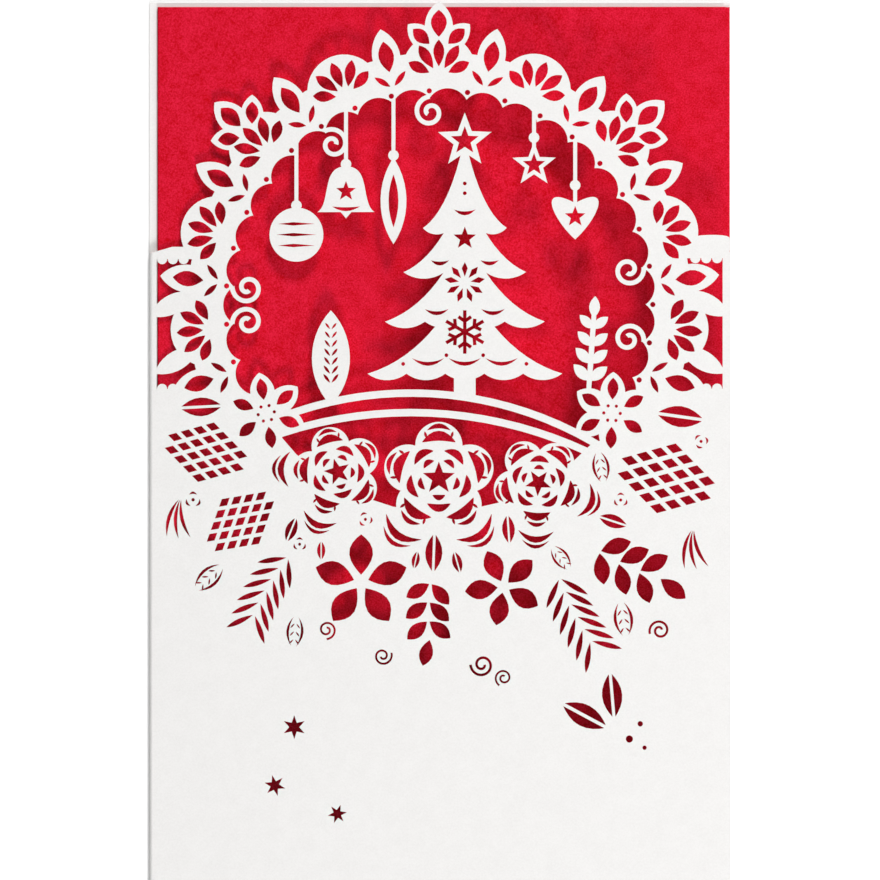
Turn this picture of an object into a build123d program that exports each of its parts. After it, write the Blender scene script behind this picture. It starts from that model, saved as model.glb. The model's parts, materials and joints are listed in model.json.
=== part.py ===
from build123d import *
import os
import math

# Driving sizes of the closed card as it lies on its back, in millimetres
CARD_W = 120.0
CARD_H = 185.0
SHEET_T = 0.3
OPEN_DEG = 4.5

# Red insert, and the strip of tape that holds it near the fold
INSERT_T = 0.2
INSERT_FOLD_GAP = 0.3
INSERT_OPEN_DEG = 0.3
INSERT_MARGIN = 0.9
FOLD_SETBACK = 1.7
LOWER_LEAF_SETBACK = 0.2
LEAF_STEP = 0.9
STRIP_T = 0.1
STRIP_W = 10.0
STRIP_SETBACK = 4.0
STRIP_END_GAP = 7.0
FOLD_CLEARANCE = 0.2

# Driving sizes of the cut work: the window's radius, and the thin parts beside cuts
WINDOW_R = 44.6
EDGE_BORDER = 1.6
STROKE = 1.2
THREAD = 0.8
SLIT = 0.7

# Turns, in degrees
FULL_TURN = 360
HALF_TURN = 180
QUARTER = 90

# Derived places; the cut work is drawn flat, from the middle of the front leaf
HALF_W = CARD_W / 2
HALF_H = CARD_H / 2
FOLD_GAP = STRIP_T + 2 * INSERT_T + INSERT_FOLD_GAP + FOLD_CLEARANCE
FINIAL_REACH = 1.4 * WINDOW_R
RING_Y = HALF_H - FINIAL_REACH
SHOULDER_Y = RING_Y + 0.24 * WINDOW_R


def loop(*edges):
    """A face inside edges that join end to end."""
    return Face(Wire(edges))


def polygon(corners):
    """A straight-sided face."""
    return Face(Wire.make_polygon(corners, close=True))


def disc(radius):
    return Circle(radius).face()


def put(items, x, y, turn=0):
    """Copies of flat faces, turned and then moved."""
    return [Pos(x, y) * Rot(0, 0, turn) * item for item in items]


def fan(items, turns, reach=0):
    """Faces drawn along +Y, moved out by the reach and repeated at each turn."""
    return [face for turn in turns for face in put(put(items, 0, reach), 0, 0, turn)]


def all_round(count, first=0):
    """Even turns round a full circle."""
    return [first + FULL_TURN / count * i for i in range(count)]


def on_ring(items, reach, angle, turn=0):
    """Faces drawn along +Y, set pointing outward on a circle round the ring's centre."""
    x = reach * math.cos(math.radians(angle))
    y = RING_Y + reach * math.sin(math.radians(angle))
    return put(items, x, y, angle - QUARTER + turn)


def from_ring(rows, make):
    """Copies of a motif from rows of x, y and length, in shares of the window's radius, and turn."""
    parts = []
    for x, y, length, turn in rows:
        motif = make(length * WINDOW_R)
        parts += put(motif, x * WINDOW_R, RING_Y + y * WINDOW_R, turn)
    return parts


# Shapes that stand on the origin and point along +Y
KITE_BELLY_SHARE = 0.58
HEART_SHARES = ((0, 0), (0.5, 0.45), (0.85, 1.25), (0, 0.8))
BELL_SHARES = ((0.5, 0.12), (0.25, 0.3), (0.45, 1), (0, 1))


def petal(width, length):
    """A leaf of two arcs that meet in points."""
    half, middle = width / 2, length / 2
    return loop(
        ThreePointArc((0, 0), (half, middle), (0, length)),
        ThreePointArc((0, length), (-half, middle), (0, 0)),
    )


def kite(width, length):
    """A straight-sided drop, widest past its middle."""
    half, belly = width / 2, KITE_BELLY_SHARE * length
    return polygon([(0, 0), (half, belly), (0, length), (-half, belly)])


def ribbed_kite(width, length, rib):
    """A kite whose midrib stays in the sheet, as two triangles."""
    half, inner, belly = width / 2, rib / 2, KITE_BELLY_SHARE * length
    return [
        polygon([(inner, rib), (half, belly), (inner, length - rib)]),
        polygon([(-inner, rib), (-inner, length - rib), (-half, belly)]),
    ]


def blade(shares, width, length):
    """The face between a curve through shares and its mirror image."""
    right = Bezier(*[(a * width, b * length) for a, b in shares])
    left = Bezier(*[(-a * width, b * length) for a, b in reversed(shares)])
    foot = [Line(left @ 1, right @ 0)] if shares[0][0] else []
    return loop(right, left, *foot)


def bar(width, length):
    """A thin strip."""
    half = width / 2
    return polygon([(-half, 0), (half, 0), (half, length), (-half, length)])


def slit(chord, rise, width):
    """A curved slit on a chord along X, bulging upward by the rise."""
    half = chord / 2
    return loop(
        Bezier((-half, 0), (0, 2 * rise - width), (half, 0)),
        Bezier((half, 0), (0, 2 * rise + width), (-half, 0)),
    )


# Shapes round the origin
STAR_POINT_COUNT = 5
STAR_INNER_SHARE = 0.42
FLAKE_ARM_COUNT = 6
FLAKE_ARM_SHARE = 0.16
FLAKE_BARB_SHARE = 0.36
FLAKE_BARB_FOOT_SHARE = 0.5
FLAKE_BARB_TURNS = (-55, 55)


def star(reach, points=STAR_POINT_COUNT):
    """A star with one point upward."""
    corners = []
    for i in range(2 * points):
        radius = STAR_INNER_SHARE * reach if i % 2 else reach
        angle = math.radians(QUARTER + i * HALF_TURN / points)
        corners.append((radius * math.cos(angle), radius * math.sin(angle)))
    return polygon(corners)


def heart(size):
    """A heart, point downward."""
    return Pos(0, -size / 2) * blade(HEART_SHARES, size, size)


def snowflake(reach):
    """Six arms with a pair of barbs each."""
    arm = FLAKE_ARM_SHARE * reach
    barbs = fan([bar(arm, FLAKE_BARB_SHARE * reach)], FLAKE_BARB_TURNS)
    ray = [bar(arm, reach)] + put(barbs, 0, FLAKE_BARB_FOOT_SHARE * reach)
    return fan(ray, all_round(FLAKE_ARM_COUNT))


# Lace head: lobes with fans, pointed buds between them, and three finials
LOBE_STEP_DEG = 24
LOBE_ANGLES = [QUARTER + LOBE_STEP_DEG * i for i in range(-4, 5)]
BUD_ANGLES = [QUARTER + LOBE_STEP_DEG * (i + 0.5) for i in range(-5, 5)]
FINIAL_ANGLES = [QUARTER + 2 * LOBE_STEP_DEG * i for i in (-1, 0, 1)]
DISC_R = 1.165 * WINDOW_R
LOBE_R = 0.17 * WINDOW_R
LOBE_REACH = 1.08 * WINDOW_R
BUD_FOOT = 1.04 * WINDOW_R
BUD_W = 0.13 * WINDOW_R
BUD_L = 0.26 * WINDOW_R
BUD_HOLE_W = 0.055 * WINDOW_R
BUD_HOLE_L = 0.14 * WINDOW_R
BUD_HOLE_FOOT = 1.1 * WINDOW_R
FAN_FOOT = 1.05 * WINDOW_R
FAN_GAP = 0.05 * WINDOW_R
FAN_KITE_W = 0.05 * WINDOW_R
FAN_TURNS = (-64, -32, 0, 32, 64)
FAN_LENGTH_SHARES = (0.62, 0.72, 0.68, 0.72, 0.62)
FINIAL_FOOT = DISC_R
FINIAL_L = FINIAL_REACH - FINIAL_FOOT
FINIAL_W = 0.13 * WINDOW_R
FINIAL_SIDE_SHARE = 0.82
FINIAL_HOLE_SHARE = 0.52
FINIAL_TURNS = (-48, 48)


def finial(make, width, length, foot=0):
    """Three leaves from one foot, the side ones shorter."""
    side = make(FINIAL_SIDE_SHARE * width, FINIAL_SIDE_SHARE * length)
    side_foot = FINIAL_SIDE_SHARE * foot
    return put([make(width, length)], 0, foot) + fan([side], FINIAL_TURNS, side_foot)


def ring_outline():
    """Disc, lobes, buds and finials, before anything is pierced."""
    parts = put([disc(DISC_R)], 0, RING_Y)
    for angle in LOBE_ANGLES:
        parts += on_ring([disc(LOBE_R)], LOBE_REACH, angle)
    for angle in BUD_ANGLES:
        parts += on_ring([petal(BUD_W, BUD_L)], BUD_FOOT, angle)
    for angle in FINIAL_ANGLES:
        parts += on_ring(finial(petal, FINIAL_W, FINIAL_L), FINIAL_FOOT, angle)
    return parts


def lobe_fan():
    """Five kites that open from the foot of a lobe."""
    kites = []
    for turn, share in zip(FAN_TURNS, FAN_LENGTH_SHARES):
        kites += fan([kite(FAN_KITE_W, share * LOBE_R)], [turn], FAN_GAP)
    return kites


def ring_cuts():
    """Fans, a kite in each bud and one in each leaf of the finials."""
    hole_w, hole_l = FINIAL_HOLE_SHARE * FINIAL_W, FINIAL_HOLE_SHARE * FINIAL_L
    finial_holes = finial(kite, hole_w, hole_l, FINIAL_L - hole_l - 1.5 * STROKE)
    cuts = []
    for angle in LOBE_ANGLES:
        cuts += on_ring(lobe_fan(), FAN_FOOT, angle)
    for angle in BUD_ANGLES:
        cuts += on_ring([kite(BUD_HOLE_W, BUD_HOLE_L)], BUD_HOLE_FOOT, angle)
    for angle in FINIAL_ANGLES:
        cuts += on_ring(finial_holes, FINIAL_FOOT, angle)
    return cuts


# Openings between the ring and the leaf's straight edges, crossed by leaning leaves
SIDE_FALL = 0.6 * WINDOW_R
BRIDGE_W = 0.09 * WINDOW_R
BRIDGE_L = 0.24 * WINDOW_R
BRIDGE_FOOT = 1.13 * WINDOW_R
BRIDGE_TURNS = ((3, -30), (-10, -20))


def side_openings():
    """What lies below the shoulders between the lobes and the border."""
    top = SHOULDER_Y - STROKE
    side = HALF_W - EDGE_BORDER
    low = top - SIDE_FALL
    zone = polygon([(-side, low), (side, low), (side, top), (-side, top)])
    bridges = []
    for angle, lean in BRIDGE_TURNS:
        leaf = [petal(BRIDGE_W, BRIDGE_L)]
        bridges += on_ring(leaf, BRIDGE_FOOT, angle, lean)
        bridges += on_ring(leaf, BRIDGE_FOOT, HALF_TURN - angle, -lean)
    return (zone - (ring_outline() + bridges)).faces()


# Round window; its scalloped edge stops where the garland covers it
SCALLOP_COUNT = 35
PLAIN_STEPS = range(21, 31)
CUSP_R = 0.955 * WINDOW_R


def window_point(radius, step):
    turn = 2 * math.pi * step / SCALLOP_COUNT
    return (radius * math.cos(turn), RING_Y + radius * math.sin(turn))


def window():
    """Arcs that bulge outward between cusps, closed by straight steps under the garland."""
    edges = []
    for i in range(SCALLOP_COUNT):
        start, end = window_point(CUSP_R, i), window_point(CUSP_R, i + 1)
        if i in PLAIN_STEPS:
            edges.append(Line(start, end))
        else:
            edges.append(ThreePointArc(start, window_point(WINDOW_R, i + 0.5), end))
    return loop(*edges)


# Snowy ridge: two thin strokes across the window
RIDGE_X = -0.13 * WINDOW_R
RIDGE_Y = RING_Y - 0.39 * WINDOW_R
RIDGE_R = 1.7 * WINDOW_R
RIDGE_STEP = 0.09 * WINDOW_R
LOWER_RIDGE_R = 1.95 * WINDOW_R
RIDGE_STROKE = 0.034 * WINDOW_R


def ridge_y(x):
    """Height of the ridge's upper edge."""
    return RIDGE_Y - RIDGE_R + math.sqrt(RIDGE_R**2 - (x - RIDGE_X) ** 2)


def ridge_stroke(crest, radius):
    """A thin arc that runs right across the window."""
    centre = Pos(RIDGE_X, crest - radius)
    ring = centre * disc(radius) - centre * disc(radius - RIDGE_STROKE)
    return (ring & Pos(0, RING_Y) * disc(WINDOW_R + STROKE)).faces()


def ridge():
    upper = ridge_stroke(RIDGE_Y, RIDGE_R)
    return upper + ridge_stroke(RIDGE_Y - RIDGE_STEP, LOWER_RIDGE_R)


# Fir tree on the ridge: hem, tip and width of each tier in shares of the tree
TREE_X = 0.12 * WINDOW_R
TREE_H = 1.2 * WINDOW_R
TREE_W = 0.9 * WINDOW_R
TREE_FOOT = ridge_y(TREE_X) - RIDGE_STROKE / 2
TIER_SHARES = ((0.09, 0.46, 1.0), (0.29, 0.64, 0.82), (0.48, 0.82, 0.63), (0.65, 1.0, 0.43))
TIER_SCALLOP_COUNTS = (5, 4, 3, 3)
SKIRT_SHARES = ((0, 1), (0.12, 0.45), (0.3, 0.12), (0.5, 0))
HEM_SAG = 0.03 * WINDOW_R
TRUNK_W = 0.1 * WINDOW_R
TRUNK_H = 0.2 * TREE_H
TREE_STAR_R = 0.13 * WINDOW_R
TREE_STAR_Y = 0.985 * TREE_H
TREE_STAR_HOLE = 0.52 * TREE_STAR_R
FLAKE_R = 0.1 * WINDOW_R
FLAKE_Y = 0.25 * TREE_H
BURST_R = 0.095 * WINDOW_R
BURST_Y = 0.44 * TREE_H
BURST_SEED_W = 0.028 * WINDOW_R
BURST_SEED_SHARE = 0.72
BURST_SEED_COUNT = 9
SMALL_STAR_R = 0.055 * WINDOW_R
SMALL_STAR_Y = 0.61 * TREE_H


def tier(width, height, scallops):
    """A skirt of branches with a scalloped hem along the X axis."""
    right = Bezier(*[(a * width, b * height) for a, b in reversed(SKIRT_SHARES)])
    left = Bezier(*[(-a * width, b * height) for a, b in SKIRT_SHARES])
    pitch = width / scallops
    hem = []
    for i in range(scallops):
        x = i * pitch - width / 2
        hem.append(ThreePointArc((x, 0), (x + pitch / 2, -HEM_SAG), (x + pitch, 0)))
    return loop(right, left, *hem)


def tree():
    """Silhouette of the tree with its star."""
    parts = [bar(TRUNK_W, TRUNK_H)]
    for (hem, tip, share), scallops in zip(TIER_SHARES, TIER_SCALLOP_COUNTS):
        skirt = tier(share * TREE_W, (tip - hem) * TREE_H, scallops)
        parts += put([skirt], 0, hem * TREE_H)
    parts += put([star(TREE_STAR_R)], 0, TREE_STAR_Y)
    return put(parts, TREE_X, TREE_FOOT)


def burst(reach):
    """Long seeds that point outward."""
    seed = kite(BURST_SEED_W, BURST_SEED_SHARE * reach)
    return fan([seed], all_round(BURST_SEED_COUNT), reach - BURST_SEED_SHARE * reach)


def tree_cuts():
    """A snowflake, a burst of seeds and two stars up the middle."""
    cuts = put(snowflake(FLAKE_R), 0, FLAKE_Y) + put(burst(BURST_R), 0, BURST_Y)
    cuts += put([star(SMALL_STAR_R)], 0, SMALL_STAR_Y) + put([star(TREE_STAR_HOLE)], 0, TREE_STAR_Y)
    return put(cuts, TREE_X, TREE_FOOT)


# Slender tree beside it
CYPRESS_X = -0.5 * WINDOW_R
CYPRESS_H = 0.44 * WINDOW_R
CYPRESS_W = 0.4 * CYPRESS_H


def slender_tree():
    foot = ridge_y(CYPRESS_X) - RIDGE_STROKE
    return put([petal(CYPRESS_W, CYPRESS_H)], CYPRESS_X, foot)


# Ornaments on threads, each from its foot up, in shares of its length
BAUBLE_BAND_SHARES = (0.3, 0.5, 0.7)
BAUBLE_CHORD_SHARE = 1.5
BELL_W_SHARE = 1.1
CLAPPER_SHARE = 0.24
BELL_STAR_SHARE = 0.2
BELL_STAR_AT_SHARE = 0.52
ICICLE_W_SHARE = 0.3
ICICLE_HOLE_SHARE = 0.6
HEART_HOLE_SHARE = 0.24
STAR_REACH_SHARE = 0.62
STAR_HOLE_SHARE = 0.32


def bauble(length):
    return put([disc(length / 2)], 0, length / 2)


def bauble_cuts(length):
    """Thin bands across a ball."""
    cuts = []
    for share in BAUBLE_BAND_SHARES:
        chord = BAUBLE_CHORD_SHARE * length * math.sqrt(share * (1 - share))
        cuts += put([kite(SLIT, chord)], chord / 2, share * length, QUARTER)
    return cuts


def bell(length):
    clapper = kite(CLAPPER_SHARE * length, CLAPPER_SHARE * length)
    return [blade(BELL_SHARES, BELL_W_SHARE * length, length), clapper]


def bell_cuts(length):
    return put([star(BELL_STAR_SHARE * length)], 0, BELL_STAR_AT_SHARE * length)


def icicle(length):
    return [petal(ICICLE_W_SHARE * length, length)]


def icicle_cuts(length):
    hole = ICICLE_HOLE_SHARE * length
    return put([kite(ICICLE_W_SHARE * hole / 2, hole)], 0, (length - hole) / 2)


def hung_heart(length):
    return put([heart(length)], 0, length / 2)


def hung_heart_cuts(length):
    return put([star(HEART_HOLE_SHARE * length)], 0, length / 2)


def hung_star(length):
    return put([star(STAR_REACH_SHARE * length)], 0, length / 2)


def hung_star_cuts(length):
    return put([star(STAR_HOLE_SHARE * length)], 0, length / 2)


# Place of the foot from the ring's centre and length, in shares of the window's radius
ORNAMENT_SHARES = (
    (-0.66, 0.2, 0.25, bauble, bauble_cuts),
    (-0.43, 0.4, 0.24, bell, bell_cuts),
    (-0.21, 0.28, 0.4, icicle, icicle_cuts),
    (0.44, 0.56, 0.17, hung_star, hung_star_cuts),
    (0.63, 0.3, 0.21, hung_heart, hung_heart_cuts),
)


def hung(x_share, y_share, length_share, make):
    """An ornament, or its cuts, at its place in the window."""
    return from_ring([(x_share, y_share, length_share, 0)], make)


def ornaments():
    """Every ornament with the thread that hangs it from the ring."""
    parts = []
    for x_share, y_share, length_share, body, _ in ORNAMENT_SHARES:
        top = math.sqrt(1 - x_share**2)
        middle = y_share + length_share / 2
        thread = bar(THREAD, (top - middle) * WINDOW_R)
        parts += put([thread], x_share * WINDOW_R, RING_Y + middle * WINDOW_R)
        parts += hung(x_share, y_share, length_share, body)
    return parts


def ornament_cuts():
    cuts = []
    for x_share, y_share, length_share, _, holes in ORNAMENT_SHARES:
        cuts += hung(x_share, y_share, length_share, holes)
    return cuts


# Motifs of the garland, in shares of the reach or length that each is drawn for
ROSETTE_PETAL_COUNT = 5
ROSETTE_PETAL_SHARE = 0.42
ROSETTE_PETAL_AT_SHARE = 0.58
ROSETTE_CURL_SHARES = (0.5, 0.09, 0.09)
ROSETTE_CURL_AT_SHARE = 0.64
ROSETTE_EYE_SHARE = 0.3
FLOWER_PETAL_COUNT = 6
FLOWER_PETAL_SHARE = 0.6
FLOWER_EYE_SHARE = 0.4
FLOWER_HOLE_SHARES = (0.24, 0.5)
FLOWER_HOLE_AT_SHARE = 0.34
CUT_FLOWER_PETAL_COUNT = 5
CUT_FLOWER_SHARES = (0.48, 0.84)
CUT_FLOWER_EYE_SHARE = 0.16
CONE_PITCH_SHARES = (0.17, 0.29)
CONE_HALF_W_SHARE = 0.4
CONE_HALF_L_SHARE = 0.52
CONE_CELL_SHARE = 0.66
FIR_PAIR_COUNT = 6
FIR_NEEDLE_SHARES = (0.055, 0.32)
FIR_LEAN_DEG = 42
SPRAY_PAIR_COUNT = 3
SPRAY_LEAF_SHARES = (0.18, 0.36)
SPRAY_LEAN_DEG = 50
STEM_BEND_SHARE = 0.2


def rosette(reach):
    """Silhouette of a full-blown flower with rounded petals."""
    round_petal = disc(ROSETTE_PETAL_SHARE * reach)
    petals = fan([round_petal], all_round(ROSETTE_PETAL_COUNT), ROSETTE_PETAL_AT_SHARE * reach)
    return petals + [disc(ROSETTE_PETAL_AT_SHARE * reach)]


def rosette_cuts(reach):
    """A curl in each petal and a small star at the eye."""
    curl = slit(*[share * reach for share in ROSETTE_CURL_SHARES])
    curls = fan([curl], all_round(ROSETTE_PETAL_COUNT), ROSETTE_CURL_AT_SHARE * reach)
    return curls + [star(ROSETTE_EYE_SHARE * reach)]


def flower(reach):
    """Silhouette of a flower with six pointed petals."""
    petals = fan([petal(FLOWER_PETAL_SHARE * reach, reach)], all_round(FLOWER_PETAL_COUNT))
    return petals + [disc(FLOWER_EYE_SHARE * reach)]


def flower_cuts(reach):
    """An opening down the middle of each petal."""
    hole = kite(*[share * reach for share in FLOWER_HOLE_SHARES])
    return fan([hole], all_round(FLOWER_PETAL_COUNT), FLOWER_HOLE_AT_SHARE * reach)


def cut_flower(reach):
    """Five petals, cut out round a plain eye."""
    cut_petal = kite(*[share * reach for share in CUT_FLOWER_SHARES])
    return fan([cut_petal], all_round(CUT_FLOWER_PETAL_COUNT), CUT_FLOWER_EYE_SHARE * reach)


def cone(length):
    """A lattice of lozenges inside the oval of a fir cone."""
    across, along = [share * length for share in CONE_PITCH_SHARES]
    half_w, half_l = CONE_CELL_SHARE * across / 2, CONE_CELL_SHARE * along / 2
    cell = polygon([(-half_w, 0), (0, -half_l), (half_w, 0), (0, half_l)])
    count = math.ceil(1 / min(CONE_PITCH_SHARES))
    cuts = []
    for row in range(-count, count + 1):
        for column in range(-count, count + 1):
            x, y = (column + row % 2 / 2) * across, row * along / 2
            out = math.hypot(x / (CONE_HALF_W_SHARE * length), y / (CONE_HALF_L_SHARE * length))
            if out < 1:
                cuts += put([cell], x, y)
    return cuts


def stem(length, leaf, pairs, lean):
    """Leaves in pairs along a stem that curves from the origin."""
    bend = STEM_BEND_SHARE * length
    cuts = []
    for i in range(pairs):
        along = (i + 1) / (pairs + 1)
        turn = math.degrees(math.atan(2 * STEM_BEND_SHARE * along))
        pair = fan([leaf], (-lean, lean), SLIT / 2)
        cuts += put(pair, -bend * along**2, length * along, turn)
    return cuts


def fir_twig(length):
    """Needles all along the stem."""
    needle = kite(*[share * length for share in FIR_NEEDLE_SHARES])
    return stem(length, needle, FIR_PAIR_COUNT, FIR_LEAN_DEG)


def spray(length):
    """Pairs of broad leaves and one at the tip."""
    leaf = kite(*[share * length for share in SPRAY_LEAF_SHARES])
    pairs = stem(length, leaf, SPRAY_PAIR_COUNT, SPRAY_LEAN_DEG)
    return pairs + put([leaf], -STEM_BEND_SHARE * length, length)


# Places in the garland: x and y from the ring's centre and size, in shares of its radius; turn
ROSETTE_SHARES = ((0, -0.8, 0.26, 0), (-0.47, -0.77, 0.21, 15), (0.46, -0.82, 0.21, 33))
FLOWER_SHARES = ((-0.8, -0.5, 0.19, 10), (0.8, -0.5, 0.19, -2))
BLOOM_SHARES = ((-0.36, -1.28, 0.22, 0), (0.3, -1.3, 0.18, 25))
CONE_SHARES = ((-1.08, -0.68, 0.36, 75), (-0.92, -1.0, 0.34, 130), (1.05, -0.8, 0.42, -105))
FIR_TWIG_SHARES = ((-0.66, -1.12, 0.42, 138), (0.54, -1.2, 0.44, -165))
SPRAY_SHARES = ((-0.02, -1.2, 0.34, 165), (0.66, -1.08, 0.4, -128))
BANK_TOP_SHARE = 0.95
BANK_LOW_SHARE = 1.4
BANK_HALF_W_SHARE = 0.6


def bank():
    """The ground that the garland's flowers grow from."""
    half = BANK_HALF_W_SHARE * WINDOW_R
    top, low = RING_Y - BANK_TOP_SHARE * WINDOW_R, RING_Y - BANK_LOW_SHARE * WINDOW_R
    return [polygon([(-half, low), (half, low), (half, top), (-half, top)])]


def garland():
    """Silhouettes of the garland where it stands in the window."""
    return from_ring(ROSETTE_SHARES, rosette) + from_ring(FLOWER_SHARES, flower) + bank()


def garland_cuts():
    """Everything that is pierced in the garland."""
    cuts = from_ring(ROSETTE_SHARES, rosette_cuts) + from_ring(FLOWER_SHARES, flower_cuts)
    cuts += from_ring(BLOOM_SHARES, cut_flower) + from_ring(CONE_SHARES, cone)
    return cuts + from_ring(FIR_TWIG_SHARES, fir_twig) + from_ring(SPRAY_SHARES, spray)


# Small accents on the plain lower part, from the ring's centre as in the garland
ACCENT_STAR_SHARES = ((-0.67, -1.95, 0.056, 0), (-0.76, -2.22, 0.05, 15), (-0.47, -2.35, 0.045, 40))
ACCENT_LEAF_SHARES = ((0.78, -1.95, 0.24, 62), (0.81, -1.91, 0.22, 5))
ACCENT_LEAF_W_SHARE = 0.42
ACCENT_STAR_POINT_COUNT = 6


def accent_star(reach):
    return [star(reach, ACCENT_STAR_POINT_COUNT)]


def accent_leaf(length):
    return ribbed_kite(ACCENT_LEAF_W_SHARE * length, length, SLIT)


def accents():
    """Three small stars and a pair of ribbed leaves."""
    return from_ring(ACCENT_STAR_SHARES, accent_star) + from_ring(ACCENT_LEAF_SHARES, accent_leaf)


# Flat front leaf
SHOULDER_LIFT = 0.03 * WINDOW_R
SHOULDER_RUN = 0.11 * WINDOW_R


def leaf_outline():
    """The leaf up to its shoulders, which slope in to the ring."""
    return polygon([
        (-HALF_W, -HALF_H),
        (HALF_W, -HALF_H),
        (HALF_W, SHOULDER_Y),
        (HALF_W - SHOULDER_RUN, SHOULDER_Y + SHOULDER_LIFT),
        (SHOULDER_RUN - HALF_W, SHOULDER_Y + SHOULDER_LIFT),
        (-HALF_W, SHOULDER_Y),
    ])


def front_leaf():
    """The flat front leaf with all its cut work, as one face."""
    sheet = leaf_outline() + ring_outline()
    sheet = sheet - ([window()] + side_openings())
    sheet = sheet + (ridge() + tree() + slender_tree() + ornaments() + garland())
    cuts = ring_cuts() + tree_cuts() + ornament_cuts() + garland_cuts() + accents()
    return (sheet & Rectangle(CARD_W, CARD_H).face()) - cuts


# Solids in their places: the back leaf lies on the ground, its left edge at the fold
def leaf_box(x_low, x_high, y_low, y_high, z_low, thickness):
    """A flat rectangle of sheet."""
    width, height = x_high - x_low, y_high - y_low
    middle = Pos((x_low + x_high) / 2, (y_low + y_high) / 2, z_low + thickness / 2)
    return middle * Box(width, height, thickness)


def opened(leaf, x, z, degrees):
    """A leaf swung up about the fold's axis at x and z."""
    return Pos(x, 0, z) * Rot(0, -degrees, 0) * Pos(-x, 0, -z) * leaf


def bend(x, z, gap, thickness, degrees, y_low, y_high):
    """The strip of sheet that rolls round the fold's axis."""
    inner, outer = gap / 2, gap / 2 + thickness
    turns = (QUARTER + degrees, HALF_TURN + degrees / 2, FULL_TURN - QUARTER)
    rays = [(math.cos(math.radians(turn)), math.sin(math.radians(turn))) for turn in turns]
    outside = [(x + outer * a, y_low, z + outer * b) for a, b in rays]
    inside = [(x + inner * a, y_low, z + inner * b) for a, b in reversed(rays)]
    section = loop(
        ThreePointArc(*outside),
        Line(outside[-1], inside[0]),
        ThreePointArc(*inside),
        Line(inside[-1], outside[0]),
    )
    return extrude(section, y_high - y_low, dir=(0, 1, 0))


def cover():
    """The white card: back leaf, fold up to the shoulder, and the cut front leaf."""
    x = SHEET_T + FOLD_GAP / 2 - HALF_W
    z = SHEET_T + FOLD_GAP / 2
    back = leaf_box(x, HALF_W, -HALF_H, HALF_H, 0, SHEET_T)
    strip = leaf_box(-HALF_W, x, SHOULDER_Y, HALF_H, 0, SHEET_T)
    past_fold = polygon([(x, -HALF_H), (HALF_W, -HALF_H), (HALF_W, HALF_H), (x, HALF_H)])
    flat = extrude(front_leaf() & past_fold, SHEET_T)
    front = opened(Pos(0, 0, SHEET_T + FOLD_GAP) * flat, x, z, OPEN_DEG)
    return back + [strip, bend(x, z, FOLD_GAP, SHEET_T, OPEN_DEG, -HALF_H, SHOULDER_Y), front]


def insert():
    """The red sheet, folded once, its upper leaf a little narrower."""
    low = SHEET_T + STRIP_T
    x = FOLD_SETBACK + INSERT_T + INSERT_FOLD_GAP / 2 - HALF_W
    z = low + INSERT_T + INSERT_FOLD_GAP / 2
    y = HALF_H - INSERT_MARGIN
    edge = HALF_W - LOWER_LEAF_SETBACK
    lower = leaf_box(x, edge, -y, y, low, INSERT_T)
    upper = leaf_box(x, edge - LEAF_STEP, -y, y, z + INSERT_FOLD_GAP / 2, INSERT_T)
    fold = bend(x, z, INSERT_FOLD_GAP, INSERT_T, INSERT_OPEN_DEG, -y, y)
    return lower + [fold, opened(upper, x, z, INSERT_OPEN_DEG)]


def adhesive_strip():
    """The strip of tape under the insert's lower leaf."""
    x = STRIP_SETBACK - HALF_W
    y = HALF_H - INSERT_MARGIN - STRIP_END_GAP
    return leaf_box(x, x + STRIP_W, -y, y, SHEET_T, STRIP_T)


if __name__ == "__main__":
    os.makedirs("parts", exist_ok=True)
    for make in (cover, insert, adhesive_strip):
        solid = make().solids()
        assert len(solid) == 1, make.__name__
        export_step(solid[0], f"parts/{make.__name__}.step")
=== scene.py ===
import json
import math
import bmesh
import bpy
from mathutils import Matrix

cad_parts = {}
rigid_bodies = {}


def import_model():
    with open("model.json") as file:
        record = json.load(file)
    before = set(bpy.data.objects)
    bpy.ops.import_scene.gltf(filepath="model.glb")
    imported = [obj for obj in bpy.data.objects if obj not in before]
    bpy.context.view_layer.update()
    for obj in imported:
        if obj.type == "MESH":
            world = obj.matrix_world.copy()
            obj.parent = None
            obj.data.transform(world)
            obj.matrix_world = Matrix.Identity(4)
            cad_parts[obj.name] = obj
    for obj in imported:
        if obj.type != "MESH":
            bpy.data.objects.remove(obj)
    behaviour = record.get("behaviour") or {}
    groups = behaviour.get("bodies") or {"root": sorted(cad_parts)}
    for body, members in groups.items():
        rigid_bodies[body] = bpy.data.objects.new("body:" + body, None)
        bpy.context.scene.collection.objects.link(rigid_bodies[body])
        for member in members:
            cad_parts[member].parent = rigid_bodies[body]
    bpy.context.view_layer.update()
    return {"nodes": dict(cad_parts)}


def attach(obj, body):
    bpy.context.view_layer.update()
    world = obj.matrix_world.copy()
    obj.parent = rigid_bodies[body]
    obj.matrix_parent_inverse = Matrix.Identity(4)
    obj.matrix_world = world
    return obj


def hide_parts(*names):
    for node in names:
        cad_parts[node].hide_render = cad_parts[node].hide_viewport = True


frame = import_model()
scene = bpy.context.scene
scene.view_settings.view_transform = "Standard"


# Camera. It hangs straight above the closed card, with a long lens, so that the card's
# sides stay parallel; the picture cuts off a few millimetres of the bottom edge.
SEEN_WIDTH = 0.18174
SEEN_DEPTH = 10
CAMERA_HEIGHT = 1.6
CAMERA_Y = 0.00225

camera_data = bpy.data.cameras.new("camera")
camera_data.lens = camera_data.sensor_width * CAMERA_HEIGHT / SEEN_WIDTH
camera_data.clip_end = SEEN_DEPTH
camera = bpy.data.objects.new("camera", camera_data)
camera.location = (0, CAMERA_Y, CAMERA_HEIGHT)
scene.collection.objects.link(camera)
scene.camera = camera


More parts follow.
